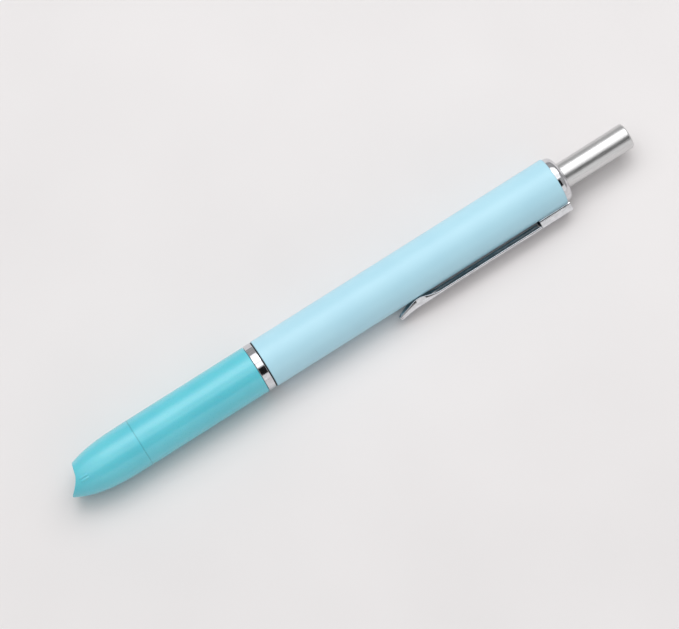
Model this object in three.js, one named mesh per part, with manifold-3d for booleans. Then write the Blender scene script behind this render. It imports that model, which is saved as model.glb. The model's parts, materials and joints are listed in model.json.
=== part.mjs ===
// A retractable highlighter lying on its side, in millimetres, +Z up.
// Each piece is made in the pen frame: Y runs along the pen from the front lip to the button,
// X points sideways and Z up. Two turned groups hold the nose and the clip at their own roll.
import * as THREE from 'three';
import { mergeVertices } from 'three/addons/utils/BufferGeometryUtils.js';
import Module from 'manifold-3d';

// ---- driving dimensions -------------------------------------------------------------------
const barrelRadius = 6;
const gripRadius = 5.95;
const tubeBore = 5.15;          // inside of the grip and the barrel
const insertRadius = 5;         // everything that plugs into them
const noseSeam = 19.55;         // where the nose meets the grip
const ringFront = 51.4;
const ringRear = 53.3;
const washerGap = 0.05;
const barrelFront = 53.6;
const barrelRear = 133.6;
const collarRear = 135.85;
const buttonRear = 154.1;
const buttonRadius = 3.2;
const buttonWall = 0.5;
const stroke = 15;              // travel of the button and the refill
const runningGap = 0.15;        // radial clearance of sliding pieces
const seatGap = 0.3;            // end clearance between stacked pieces

const lipRadius = 2.6;          // nose radius at the tip of the long lip
const ogivePower = 3.3;         // how quickly the nose swells behind the lip
const noseRoll = THREE.MathUtils.degToRad(20);

const nibRadius = 1.6;
const nibTip = 13.8;
const chiselSlope = 1.3;        // millimetres back for each millimetre across the nib
const refillRadius = 4.1;
const refillFront = 57.6;
const holderRadius = 3.2;
const sealBore = holderRadius + runningGap;
const sealRadius = 4.25;
const sealRear = 30.2;

const hingeAlong = 10.6;        // trap door hinge, on the short side of the mouth
const hingeOut = 3.1;
const doorSlant = THREE.MathUtils.degToRad(30);
const doorHalfThick = 0.25;
const doorReach = 3.435;        // hinge to the middle of the door
const doorHalfLength = 2.6;
const doorHalfWidth = 2.45;
const gasketInner = 2.2;
const gasketOuter = 2.5;
const seatOffset = 0.76;        // hinge to the sloping face that the gasket sits on

const clipHalfWidth = 2.6;
const clipSheet = 0.45;
const clipEdge = 0.3;           // rounding along the clip's edges
const clipBump = 91.9;          // lowest point of the arm, where it presses on the barrel
const clipTip = clipBump - 6;
const clipJoint = 125.35;       // where the arm starts to flex
const clipRear = barrelRear + 0.3;         // end of the clip, just past the barrel
const clipRootHeight = 7.75;    // outer face of the clip at its root, from the pen's axis
const clipBumpHeight = 7.9;     // and at the bump
const armDepth = 0.75;
const mountGap = 0.15;          // between the barrel and the saddle of the clip mount
const tongueHalfWidth = 1;

const fine = 48;
const medium = 32;
const coarse = 16;

// ---- finishes -----------------------------------------------------------------------------
function finish(color, roughness, metalness = 0) {
  return new THREE.MeshStandardMaterial({ color, roughness, metalness });
}
const turquoise = finish(0x66c8d6, 0.35);
const powderBlue = finish(0xb4dcec, 0.4);
const chrome = finish(0xd8d8da, 0.12, 1);
const satinMetal = finish(0xbcbcbc, 0.3, 1);
const whitePlastic = finish(0xe6e8e8, 0.5);
const greyPlastic = finish(0x9aa4a8, 0.5);
const rubber = finish(0x2c3032, 0.8);
const inkFibre = finish(0x2fc4d8, 0.9);
const springSteel = finish(0xa8aaac, 0.3, 1);

// ---- solids -------------------------------------------------------------------------------
const wasm = await Module();
wasm.setup();

function solidOf(geometry) {
  const bare = geometry.clone();
  bare.deleteAttribute('normal');
  bare.deleteAttribute('uv');
  const merged = mergeVertices(bare, 1e-4);
  const corners = merged.index.array;
  const triVerts = [];
  for (let i = 0; i < corners.length; i += 3) {
    const [a, b, c] = corners.slice(i, i + 3);
    if (a !== b && b !== c && c !== a) triVerts.push(a, b, c);
  }
  const vertProperties = new Float32Array(merged.attributes.position.array);
  return new wasm.Manifold(new wasm.Mesh({ numProp: 3, vertProperties, triVerts: new Uint32Array(triVerts) }));
}

function piece(name, solid, look) {
  const result = solid.getMesh();
  const geometry = new THREE.BufferGeometry();
  geometry.setAttribute('position', new THREE.BufferAttribute(result.vertProperties, 3));
  geometry.setIndex(new THREE.BufferAttribute(result.triVerts, 1));
  geometry.computeVertexNormals();
  const mesh = new THREE.Mesh(geometry, look.clone());
  mesh.name = name;
  return mesh;
}

// A closed outline of [radius, along] points turned about the pen's axis.
function turned(outline, segments = fine) {
  const area = outline.reduce((sum, [r, y], i) => {
    const [nextR, nextY] = outline[(i + 1) % outline.length];
    return sum + r * nextY - nextR * y;
  }, 0);
  const ordered = area > 0 ? outline : [...outline].reverse();
  const points = [...ordered, ordered[0]].map(([r, y]) => new THREE.Vector2(r, y));
  return solidOf(new THREE.LatheGeometry(points, segments));
}

function tube(outer, inner, from, to, segments = fine) {
  return turned([[inner, from], [outer, from], [outer, to], [inner, to]], segments);
}

function rod(radius, from, to, segments = fine) {
  return turned([[0, from], [radius, from], [radius, to], [0, to]], segments);
}

function block(fromX, toX, fromY, toY, fromZ, toZ) {
  const geometry = new THREE.BoxGeometry(toX - fromX, toY - fromY, toZ - fromZ);
  geometry.translate((fromX + toX) / 2, (fromY + toY) / 2, (fromZ + toZ) / 2);
  return solidOf(geometry);
}

// An outline in X and Y with its thickness centred on Z.
function slab(outline, thickness, bevel = 0) {
  const depth = thickness - 2 * bevel;
  const geometry = new THREE.ExtrudeGeometry(outline, {
    depth,
    curveSegments: 6,
    bevelEnabled: bevel > 0,
    bevelThickness: bevel,
    bevelSize: bevel,
    bevelOffset: -bevel,
    bevelSegments: 2,
  });
  geometry.translate(0, 0, -depth / 2);
  return solidOf(geometry);
}

// A round bar across the pen, along Z.
function crossBar(radius, length, x, y) {
  const geometry = new THREE.CylinderGeometry(radius, radius, length, coarse);
  geometry.rotateX(Math.PI / 2);
  geometry.translate(x, y, 0);
  return solidOf(geometry);
}

function aroundAxis(count, make) {
  return Array.from({ length: count }, (_, i) => make().rotate([0, (i * 360) / count, 0]));
}

function coil(radius, wire, turns, length, stepsPerTurn, sides) {
  class Helix extends THREE.Curve {
    getPoint(t, target = new THREE.Vector3()) {
      const angle = 2 * Math.PI * turns * t;
      return target.set(radius * Math.cos(angle), length * t, radius * Math.sin(angle));
    }
  }
  const section = new THREE.Shape();
  for (let i = 0; i < sides; i += 1) {
    const angle = (2 * Math.PI * i) / sides;
    const corner = [wire * Math.cos(angle), wire * Math.sin(angle)];
    if (i === 0) section.moveTo(...corner);
    else section.lineTo(...corner);
  }
  const steps = Math.round(turns * stepsPerTurn);
  return new THREE.ExtrudeGeometry(section, { steps, extrudePath: new Helix() });
}

// ---- nose and trap door -------------------------------------------------------------------
function noseRadius(along) {
  return gripRadius - (gripRadius - lipRadius) * (1 - along / noseSeam) ** ogivePower;
}

function noseShell() {
  const steps = 13;
  const ogive = Array.from({ length: steps + 1 }, (_, i) => {
    const along = noseSeam * (i / steps) ** 1.3;
    return [noseRadius(along), along];
  });
  const spigotRear = 23.9;
  const outside = turned([[0, 0], ...ogive, [insertRadius, noseSeam], [insertRadius, spigotRear], [0, spigotRear]]);
  const cavity = turned([
    [0, -1], [1.85, -1], [1.85, 0.2], [2.6, 3], [3.5, 4.2], [4.02, 5.6], [4.3, 7.2], [4.4, 9],
    [4.4, spigotRear + 1], [0, spigotRear + 1],
  ]);
  const mouth = new THREE.Shape();          // everything in front of the beak-shaped opening
  mouth.moveTo(-7, -3);
  mouth.lineTo(2.55, -3);
  mouth.lineTo(2.55, -0.28);
  mouth.quadraticCurveTo(-0.3, 3, -2.2, 3.3);
  mouth.lineTo(-4.2, 3.82);
  mouth.lineTo(-7, 4.7);
  mouth.closePath();
  return outside.subtract(cavity).subtract(slab(mouth, 16));
}

function sealTube() {
  const frontWall = 11.2;
  const flangeFront = 24.2;
  const flangeRear = 26;
  const body = turned([
    [1.95, 6], [sealRadius, 6], [sealRadius, flangeFront], [insertRadius, flangeFront],
    [insertRadius, flangeRear], [sealRadius, flangeRear], [sealRadius, sealRear], [sealBore, sealRear],
    [sealBore, frontWall], [1.95, frontWall],
  ]);
  const inFront = new THREE.BoxGeometry(40, 20, 20);
  inFront.translate(0, seatOffset - 10, 0);
  inFront.rotateZ(-doorSlant);
  inFront.translate(-hingeOut, hingeAlong, 0);
  const earRadius = 0.65;
  const ear = new THREE.Shape();
  ear.moveTo(-hingeOut + earRadius, frontWall);
  ear.lineTo(-hingeOut - earRadius, frontWall);
  ear.lineTo(-hingeOut - earRadius, hingeAlong);
  ear.absarc(-hingeOut, hingeAlong, earRadius, Math.PI, 2 * Math.PI, false);
  ear.closePath();
  const betweenEars = block(-5, 5, 5, hingeAlong + seatOffset, -1.15, 1.15);
  const ears = slab(ear, 3.9).subtract(betweenEars);
  return body.subtract(solidOf(inFront)).add(ears).subtract(crossBar(0.3, 10, -hingeOut, hingeAlong));
}

// The door frame has its origin at the hinge, X down the door and Y through its thickness.
function doorFrame() {
  const group = new THREE.Group();
  group.position.set(-hingeOut, hingeAlong, 0);
  group.rotation.z = -doorSlant;
  return group;
}

function sealDoor() {
  const outline = new THREE.Shape();
  outline.absellipse(doorReach, 0, doorHalfLength, doorHalfWidth, 0, 2 * Math.PI, false);
  const plate = new THREE.ExtrudeGeometry(outline, {
    depth: 2 * doorHalfThick,
    curveSegments: 16,
    bevelEnabled: false,
  });
  plate.rotateX(Math.PI / 2);
  plate.translate(0, doorHalfThick, 0);
  const neckHalfWidth = 0.5;
  const neck = block(0, 1.6, -doorHalfThick, doorHalfThick, -neckHalfWidth, neckHalfWidth);
  const knuckle = crossBar(0.6, 2 * neckHalfWidth, 0, 0);
  return solidOf(plate).add(neck).add(knuckle).subtract(crossBar(0.34, 10, 0, 0));
}

function doorGasket() {
  const ring = tube(gasketOuter, gasketInner, doorHalfThick + 0.08, seatOffset - 0.08, medium);
  return ring.translate([doorReach, 0, 0]);
}

function doorSpring() {
  const geometry = coil(0.47, 0.09, 2.25, 0.42, 12, 6);
  geometry.rotateX(Math.PI / 2);
  geometry.translate(0, 0, 0.62);
  return solidOf(geometry);
}

// ---- refill -------------------------------------------------------------------------------
function nib() {
  const bar = rod(nibRadius, nibTip, 35.5, medium);
  const chisel = new THREE.Shape();
  chisel.moveTo(nibRadius + 1, nibTip - chiselSlope);
  chisel.lineTo(-nibRadius - 1, nibTip + chiselSlope * (2 * nibRadius + 1));
  chisel.lineTo(-nibRadius - 1, nibTip - chiselSlope);
  chisel.closePath();
  return bar.subtract(slab(chisel, 6));
}

function nibHolder() {
  const channel = 1;
  return turned([
    [1.7, 26.8], [2.5, 26.8], [holderRadius, 28], [holderRadius, 28.3], [2.8, 28.3], [2.8, 29.1],
    [holderRadius, 29.1], [holderRadius, refillFront + 0.1], [3.6, refillFront + 0.1], [3.6, 60],
    [channel, 60], [channel, 36], [1.7, 36],
  ], medium);
}

function carrierRing() {
  const middle = 3.07;
  const along = 28.7;
  const section = Array.from({ length: 10 }, (_, i) => {
    const angle = (2 * Math.PI * i) / 10;
    return [middle + 0.22 * Math.cos(angle), along + 0.22 * Math.sin(angle)];
  });
  return turned(section, medium);
}

function refillPlug() {
  return turned([
    [0, 100.5], [3.6, 100.5], [3.6, 104.8], [refillRadius, 104.8], [refillRadius, 106.3], [0, 106.3],
  ], medium);
}

function returnSpring() {
  const front = sealRear + 0.55;
  const rear = refillFront - 0.55;
  const geometry = coil(3.75, 0.25, 11, rear - front, 14, 6);
  geometry.translate(0, front, 0);
  return solidOf(geometry);
}

// ---- push mechanism -----------------------------------------------------------------------
const guideRibs = 4;
const flangeFrontY = 113.6;
const flangeRearY = 116.4;
const guideInner = 3.5;

function camSleeve() {
  const sleeve = tube(insertRadius, 4.25, 84, 116.7);
  const rib = new THREE.Shape();            // seen from the axis: a bar with a sloping cam end
  rib.moveTo(-0.5, flangeFrontY - 0.5);
  rib.lineTo(0.5, flangeFrontY + 0.3);
  rib.lineTo(0.5, 116.7);
  rib.lineTo(-0.5, 116.7);
  rib.closePath();
  const ribs = aroundAxis(guideRibs, () => slab(rib, 1.1).translate([0, 0, guideInner + 0.55]));
  return ribs.reduce((whole, next) => whole.add(next), sleeve);
}

// A ring of pointed teeth is left when wedges are cut from the end of a piece.
function toothGaps(count, root, tip, radius) {
  const gap = new THREE.Shape();
  gap.moveTo(0, root);
  gap.lineTo((Math.PI * radius) / count, tip);
  gap.lineTo((-Math.PI * radius) / count, tip);
  gap.closePath();
  return aroundAxis(count, () => slab(gap, radius + 1).translate([0, 0, (radius + 1) / 2]));
}

function cutAll(solid, cutters) {
  return cutters.reduce((whole, cutter) => whole.subtract(cutter), solid);
}

function buttonPlunger() {
  const body = turned([
    [1.4, 112.6], [3.2, 112.6], [3.2, flangeFrontY], [4.05, flangeFrontY], [4.05, flangeRearY],
    [2.55, flangeRearY], [2.55, 126], [1.4, 126],
  ], medium);
  const notch = () => block(-0.8, 0.8, flangeFrontY - 0.1, flangeRearY + 0.1, guideInner - 0.25, 5);
  return cutAll(cutAll(body, aroundAxis(guideRibs, notch)), toothGaps(8, 113.3, 112.5, 3.2));
}

function camRotor() {
  const core = turned([[0, 106.6], [2.9, 106.6], [2.9, 112.3], [1.4, 112.3], [1.4, 109], [0, 109]], medium);
  const fin = new THREE.Shape();
  fin.moveTo(-0.45, 107.4);
  fin.lineTo(0.45, 107.4);
  fin.lineTo(0.45, 111.6);
  fin.lineTo(-0.45, 110.9);
  fin.closePath();
  const fins = aroundAxis(guideRibs, () => slab(fin, 1.4).translate([0, 0, 3.3]).rotate([0, 45, 0]));
  const finned = fins.reduce((whole, next) => whole.add(next), core);
  return cutAll(finned, toothGaps(8, 111.6, 112.4, 2.9));
}

function buttonCap() {
  const rim = 0.55;
  const bore = buttonRadius - buttonWall;
  const corner = [0, 1, 2, 3, 4].map((i) => {
    const angle = (i / 4) * (Math.PI / 2);
    return [buttonRadius - rim + rim * Math.cos(angle), buttonRear - rim + rim * Math.sin(angle)];
  });
  return turned([[bore, 117.2], [buttonRadius, 117.2], ...corner, [0, buttonRear], [0, buttonRear - 0.8], [bore, buttonRear - 0.8]]);
}

function buttonBush() {
  const bore = buttonRadius + 0.2;
  return turned([
    [bore, 117], [insertRadius - 0.05, 117], [insertRadius - 0.05, 118.7], [3.9, 118.7], [3.9, collarRear - 1.1], [bore, collarRear - 1.1],
  ]);
}

function rearCollar() {
  const bore = 4.1;
  const lip = buttonRadius + 0.2;
  const seat = barrelRear + 0.15;
  return turned([
    [bore, 119], [insertRadius, 119], [insertRadius, seat], [5.6, seat], [5.6, seat + 0.3], [4.9, seat + 1.4],
    [4.2, collarRear - 0.2], [4, collarRear], [lip, collarRear], [lip, collarRear - 0.8], [bore, collarRear - 0.8],
  ]);
}

// ---- casing -------------------------------------------------------------------------------
function centreRing() {
  const bevel = 0.12;
  return turned([
    [tubeBore, ringFront], [barrelRadius - bevel, ringFront], [barrelRadius, ringFront + bevel],
    [barrelRadius, ringRear - bevel], [barrelRadius - bevel, ringRear], [tubeBore, ringRear],
  ]);
}

function barrel() {
  const bevel = 0.2;
  const shell = turned([
    [tubeBore, barrelFront], [barrelRadius - bevel, barrelFront], [barrelRadius, barrelFront + bevel],
    [barrelRadius, barrelRear - bevel], [barrelRadius - bevel, barrelRear], [tubeBore, barrelRear],
  ]);
  const side = tongueHalfWidth + seatGap;
  return shell.subtract(block(4, 8, barrelRear - 1.7, barrelRear + 1, -side, side).rotate([0, clipRollDegrees, 0]));
}

// ---- clip ---------------------------------------------------------------------------------
// The clip frame has X out from the pen's axis and Z across the clip.
// The pen lies on its barrel and on the lower outer edge of the clip's bump, which sets the roll.
const edgeOut = clipBumpHeight - clipEdge;
const edgeAcross = clipHalfWidth - clipEdge;
const clipRoll = Math.asin((barrelRadius - clipEdge) / Math.hypot(edgeOut, edgeAcross)) - Math.atan2(edgeAcross, edgeOut);
const clipRollDegrees = THREE.MathUtils.radToDeg(clipRoll);

function clipArm() {
  const side = new THREE.Shape();
  side.moveTo(clipRootHeight - armDepth, clipJoint - 0.15);
  side.lineTo(clipRootHeight - armDepth, clipBump + 6.8);
  side.quadraticCurveTo(6.95, clipBump + 4.8, 6.4, clipBump + 2.4);
  side.quadraticCurveTo(5.85, clipBump + 1, 5.8, clipBump);
  side.lineTo(5.9, clipBump - 1);
  side.lineTo(7.55, clipTip + 0.35);
  side.quadraticCurveTo(7.75, clipTip, 8.1, clipTip);
  side.quadraticCurveTo(8.65, clipTip, 8.7, clipTip + 0.6);
  side.lineTo(clipBumpHeight + 0.1, clipBump - 2);
  side.lineTo(clipBumpHeight, clipBump);
  side.lineTo(clipRootHeight - 0.05, clipBump + 8.6);
  side.lineTo(clipRootHeight, clipJoint - 0.15);
  side.closePath();
  const tipRadius = 1.25;
  const plan = new THREE.Shape();           // drawn with X across the clip
  plan.moveTo(clipHalfWidth, clipJoint);
  plan.lineTo(-clipHalfWidth, clipJoint);
  plan.lineTo(-clipHalfWidth, clipBump);
  plan.lineTo(-tipRadius, clipTip + tipRadius);
  plan.absarc(0, clipTip + tipRadius, tipRadius, Math.PI, 2 * Math.PI, false);
  plan.lineTo(clipHalfWidth, clipBump);
  plan.closePath();
  const planSolid = slab(plan, 8).rotate([0, 90, 0]).translate([7, 0, 0]);
  const hollow = new THREE.Shape();
  hollow.moveTo(5, clipJoint + 1);
  hollow.lineTo(clipRootHeight - clipSheet, clipJoint + 1);
  hollow.lineTo(clipRootHeight - 0.05 - clipSheet, clipBump + 8.6);
  hollow.lineTo(clipBumpHeight - clipSheet, clipBump);
  hollow.lineTo(clipBumpHeight - clipSheet, clipBump - 3.4);
  hollow.lineTo(5, clipBump - 4.4);
  hollow.closePath();
  const channel = slab(hollow, 2 * (clipHalfWidth - clipSheet));
  return slab(side, 2 * clipHalfWidth, clipEdge).intersect(planSolid).subtract(channel);
}

function clipMount() {
  const front = clipJoint + 0.15;
  const foot = 5.3;
  const side = new THREE.Shape();
  side.moveTo(clipRootHeight, front);
  side.lineTo(clipRootHeight, clipRear);
  side.lineTo(foot, clipRear);
  side.lineTo(foot, front);
  side.closePath();
  const shell = slab(side, 2 * clipHalfWidth, clipEdge);
  const inner = clipHalfWidth - clipSheet;
  const channelRear = clipRear - 1.3;
  const channel = block(4, clipRootHeight - clipSheet, front - 1, channelRear, -inner, inner);
  const saddle = rod(barrelRadius + mountGap, front - 1, clipRear + 1, 2 * fine);
  const tongue = block(5.4, 6.6, channelRear - 0.3, barrelRear - 0.05, -tongueHalfWidth, tongueHalfWidth);
  return shell.subtract(channel).subtract(saddle).add(tongue);
}

// ---- the pen ------------------------------------------------------------------------------
const pen = new THREE.Group();
pen.add(
  piece('grip_tube', tube(gripRadius, tubeBore, noseSeam + 0.1, ringFront - 0.1), turquoise),
  piece('joint_sleeve', tube(insertRadius, 4.3, 43, 65), greyPlastic),
  piece('centre_ring', centreRing(), chrome),
  piece('ring_washer', tube(5.85, tubeBore, ringRear + washerGap, barrelFront - washerGap), rubber),
  piece('barrel', barrel(), powderBlue),
  piece('cam_sleeve', camSleeve(), whitePlastic),
  piece('button_bush', buttonBush(), whitePlastic),
  piece('rear_collar', rearCollar(), chrome),
  piece('button_cap', buttonCap(), satinMetal),
  piece('button_plunger', buttonPlunger(), greyPlastic),
  piece('cam_rotor', camRotor(), turquoise),
  piece('refill_plug', refillPlug(), greyPlastic),
  piece('refill_tube', tube(refillRadius, 3.75, refillFront, 104.5, medium), whitePlastic),
  piece('ink_core', rod(3.6, 60.4, 100, medium), inkFibre),
  piece('feed_wick', rod(0.85, 36, 60.1, coarse), inkFibre),
  piece('nib_holder', nibHolder(), whitePlastic),
  piece('carrier_ring', carrierRing(), rubber),
  piece('return_spring', returnSpring(), springSteel),
);

const nose = new THREE.Group();
nose.rotation.y = noseRoll;
const door = doorFrame();
door.add(
  piece('seal_door', sealDoor(), whitePlastic),
  piece('door_gasket', doorGasket(), rubber),
  piece('door_pin', crossBar(0.25, 4, 0, 0), springSteel),
  piece('door_spring', doorSpring(), springSteel),
);
nose.add(
  piece('nose_shell', noseShell(), turquoise),
  piece('seal_tube', sealTube(), whitePlastic),
  piece('nib', nib(), inkFibre),
  door,
);

const clip = new THREE.Group();
clip.rotation.y = clipRoll;
clip.add(
  piece('clip_mount', clipMount(), chrome),
  piece('clip_arm', clipArm(), chrome),
);

pen.add(nose, clip);
pen.rotation.z = -Math.PI / 2;

const highlighter = new THREE.Group();
highlighter.add(pen);
highlighter.updateMatrixWorld(true);
const extent = new THREE.Box3().setFromObject(highlighter, true);
pen.position.set(-(extent.min.x + extent.max.x) / 2, -(extent.min.y + extent.max.y) / 2, -extent.min.z);

export default highlighter;
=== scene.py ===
import json
import bmesh
import bpy
from math import atan2, cos, pi, radians, sin, sqrt, tan
from mathutils import Matrix, Vector


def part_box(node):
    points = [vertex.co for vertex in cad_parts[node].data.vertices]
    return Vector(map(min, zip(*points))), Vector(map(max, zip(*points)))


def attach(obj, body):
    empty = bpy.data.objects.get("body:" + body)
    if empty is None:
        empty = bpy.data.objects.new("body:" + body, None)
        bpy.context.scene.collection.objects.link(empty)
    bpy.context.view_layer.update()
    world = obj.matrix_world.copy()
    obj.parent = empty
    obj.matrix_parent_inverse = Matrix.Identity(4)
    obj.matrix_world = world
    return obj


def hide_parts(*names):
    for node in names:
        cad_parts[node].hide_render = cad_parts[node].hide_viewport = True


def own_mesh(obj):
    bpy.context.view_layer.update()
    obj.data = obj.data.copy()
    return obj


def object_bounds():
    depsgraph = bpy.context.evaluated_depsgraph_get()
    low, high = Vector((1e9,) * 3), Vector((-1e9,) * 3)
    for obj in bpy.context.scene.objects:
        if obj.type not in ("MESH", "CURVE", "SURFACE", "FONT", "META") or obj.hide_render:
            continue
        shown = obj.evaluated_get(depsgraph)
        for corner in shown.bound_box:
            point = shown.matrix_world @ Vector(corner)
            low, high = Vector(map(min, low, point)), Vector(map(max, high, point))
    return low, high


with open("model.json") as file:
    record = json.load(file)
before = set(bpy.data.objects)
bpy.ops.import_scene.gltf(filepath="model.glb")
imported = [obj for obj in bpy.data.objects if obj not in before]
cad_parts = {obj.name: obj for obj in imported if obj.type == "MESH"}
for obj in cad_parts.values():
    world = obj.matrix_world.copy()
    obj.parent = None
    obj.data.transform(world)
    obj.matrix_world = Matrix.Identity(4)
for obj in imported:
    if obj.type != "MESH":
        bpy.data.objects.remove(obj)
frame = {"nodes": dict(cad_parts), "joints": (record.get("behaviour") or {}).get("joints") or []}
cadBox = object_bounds()
mm = 0.001

# The pen lies along X. Its shapes are given in millimetres as (along, out, across): along from the
# front lip to the button, out from the axis and across it, turned about the axis by a roll.
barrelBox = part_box("barrel")
penLine = {
    "lip": cadBox[0].x,
    "y": (barrelBox[0].y + barrelBox[1].y) / 2,
    "z": (barrelBox[0].z + barrelBox[1].z) / 2,
}
joints = {joint["name"]: joint for joint in frame["joints"]}
doorAxis = joints["door_swing"]["axis"]
clipAxis = joints["clip_flex"]["axis"]
noseRoll = atan2(doorAxis[1], -doorAxis[2])
clipRoll = atan2(-clipAxis[1], clipAxis[2])
print("frame loaded:", len(frame["nodes"]), "nodes")


def spot(along, out=0.0, across=0.0, roll=0.0):
    y = out * cos(roll) + across * sin(roll)
    z = across * cos(roll) - out * sin(roll)
    return Vector((penLine["lip"] + along * mm, penLine["y"] - y * mm, penLine["z"] + z * mm))


def span(node):
    low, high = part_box(node)
    return (low.x - penLine["lip"]) / mm, (high.x - penLine["lip"]) / mm


def radiusOf(node):
    low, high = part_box(node)
    return (high.z - low.z) / 2 / mm


# Shader helpers and the groups that several finishes share
def newGroup(name, inputs, outputs):
    group = bpy.data.node_groups.new(name, "ShaderNodeTree")
    for label, kind, value in inputs:
        socket = group.interface.new_socket(label, in_out="INPUT", socket_type=kind)
        socket.default_value = value
    for label, kind in outputs:
        group.interface.new_socket(label, in_out="OUTPUT", socket_type=kind)
    return group, group.nodes.new("NodeGroupInput"), group.nodes.new("NodeGroupOutput")


def feed(tree, node, values):
    # Each value is a plain one for its socket, or another node's output to link
    for index, value in values.items():
        if isinstance(value, (int, float, tuple)):
            node.inputs[index].default_value = value
        else:
            tree.links.new(value, node.inputs[index])


def mathNode(tree, operation, first, second=0.0):
    node = tree.nodes.new("ShaderNodeMath")
    node.operation = operation
    feed(tree, node, {0: first, 1: second})
    return node.outputs[0]


def mapRange(tree, value, fromLow, fromHigh, toLow, toHigh, smooth=False):
    node = tree.nodes.new("ShaderNodeMapRange")
    if smooth:
        node.interpolation_type = "SMOOTHSTEP"
    feed(tree, node, {0: value, 1: fromLow, 2: fromHigh, 3: toLow, 4: toHigh})
    return node.outputs[0]


def blendColors(tree, share, first, second):
    node = tree.nodes.new("ShaderNodeMix")
    node.data_type = "RGBA"
    feed(tree, node, {0: share, 6: first, 7: second})
    return node.outputs[2]


def noiseOver(tree, size, detail):
    # Noise on object coordinates with features of the given size
    place = tree.nodes.new("ShaderNodeTexCoord")
    noise = tree.nodes.new("ShaderNodeTexNoise")
    noise.inputs["Detail"].default_value = detail
    tree.links.new(place.outputs["Object"], noise.inputs["Vector"])
    tree.links.new(mathNode(tree, "DIVIDE", 1.0, size), noise.inputs["Scale"])
    return noise.outputs[0]


def grainGroup():
    # Fine unevenness that can be drawn out along the pen: Size is the grain's size in metres
    group, inputs, outputs = newGroup(
        "fineGrain",
        [
            ("Size", "NodeSocketFloat", 0.0002),
            ("Draw Out", "NodeSocketFloat", 1.0),
            ("Roughen", "NodeSocketFloat", 0.5),
        ],
        [("Height", "NodeSocketFloat"), ("Mask", "NodeSocketFloat")],
    )
    links = group.links
    place = group.nodes.new("ShaderNodeTexCoord")
    size = mathNode(group, "DIVIDE", 1.0, inputs.outputs["Size"])
    drawn = mathNode(group, "DIVIDE", size, inputs.outputs["Draw Out"])
    scale = group.nodes.new("ShaderNodeCombineXYZ")
    links.new(drawn, scale.inputs[0])
    links.new(size, scale.inputs[1])
    links.new(size, scale.inputs[2])
    mapping = group.nodes.new("ShaderNodeMapping")
    links.new(place.outputs["Object"], mapping.inputs["Vector"])
    links.new(scale.outputs[0], mapping.inputs["Scale"])
    noise = group.nodes.new("ShaderNodeTexNoise")
    noise.inputs["Scale"].default_value = 1.0
    noise.inputs["Detail"].default_value = 3.0
    links.new(mapping.outputs[0], noise.inputs["Vector"])
    links.new(inputs.outputs["Roughen"], noise.inputs["Roughness"])
    links.new(noise.outputs[0], outputs.inputs["Height"])
    links.new(mapRange(group, noise.outputs[0], 0.35, 0.65, 0.0, 1.0), outputs.inputs["Mask"])
    return group


def toneGroup():
    # Slow drift of a colour between two tones over the piece
    group, inputs, outputs = newGroup(
        "toneDrift",
        [
            ("Tone A", "NodeSocketColor", (1, 1, 1, 1)),
            ("Tone B", "NodeSocketColor", (1, 1, 1, 1)),
            ("Size", "NodeSocketFloat", 0.006),
        ],
        [("Color", "NodeSocketColor")],
    )
    drift = mapRange(group, noiseOver(group, inputs.outputs["Size"], 2.0), 0.3, 0.7, 0.0, 1.0)
    color = blendColors(group, drift, inputs.outputs["Tone A"], inputs.outputs["Tone B"])
    group.links.new(color, outputs.inputs["Color"])
    return group


def convexEdgeGroup():
    # Lightens convex edges: 1 on convex edges, broken up by a noise
    group, inputs, outputs = newGroup(
        "convexEdgeLightening",
        [("Amount", "NodeSocketFloat", 0.5), ("Break Up", "NodeSocketFloat", 0.0008)],
        [("Mask", "NodeSocketFloat")],
    )
    shape = group.nodes.new("ShaderNodeNewGeometry")
    edge = mapRange(group, shape.outputs["Pointiness"], 0.52, 0.6, 0.0, 1.0)
    broken = mapRange(group, noiseOver(group, inputs.outputs["Break Up"], 3.0), 0.35, 0.65, 0.2, 1.0)
    paled = mathNode(group, "MULTIPLY", mathNode(group, "MULTIPLY", edge, broken), inputs.outputs["Amount"])
    group.links.new(paled, outputs.inputs["Mask"])
    return group


def seamGroup():
    # A soft dark line where one part meets the next, at Along on X
    group, inputs, outputs = newGroup(
        "seamLine",
        [("Along", "NodeSocketFloat", 0.0), ("Width", "NodeSocketFloat", 0.0003)],
        [("Mask", "NodeSocketFloat")],
    )
    links = group.links
    place = group.nodes.new("ShaderNodeTexCoord")
    split = group.nodes.new("ShaderNodeSeparateXYZ")
    links.new(place.outputs["Object"], split.inputs[0])
    away = mathNode(group, "SUBTRACT", split.outputs[0], inputs.outputs["Along"])
    near = mathNode(group, "DIVIDE", mathNode(group, "ABSOLUTE", away), inputs.outputs["Width"])
    links.new(mapRange(group, near, 0.0, 1.0, 1.0, 0.0, True), outputs.inputs["Mask"])
    return group


sharedGroups = {
    "grain": grainGroup(),
    "tone": toneGroup(),
    "paleEdge": convexEdgeGroup(),
    "seam": seamGroup(),
}


def useGroup(tree, name, **values):
    node = tree.nodes.new("ShaderNodeGroup")
    node.node_tree = sharedGroups[name]
    for label, value in values.items():
        node.inputs[label.replace("_", " ")].default_value = value
    return node


def newMaterial(name, **settings):
    material = bpy.data.materials.new(name)
    material.use_nodes = True
    tree = material.node_tree
    shader = tree.nodes["Principled BSDF"]
    for label, value in settings.items():
        shader.inputs[label.replace("_", " ")].default_value = value
    return material, tree, shader


def linear(red, green, blue):
    tones = []
    for value in (red, green, blue):
        part = value / 255
        tones.append(part / 12.92 if part <= 0.04045 else ((part + 0.055) / 1.055) ** 2.4)
    return (*tones, 1.0)


def addBump(tree, shader, height, strength, distance):
    bump = tree.nodes.new("ShaderNodeBump")
    bump.inputs["Strength"].default_value = strength
    bump.inputs["Distance"].default_value = distance
    tree.links.new(height, bump.inputs["Height"])
    tree.links.new(bump.outputs[0], shader.inputs["Normal"])


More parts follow.
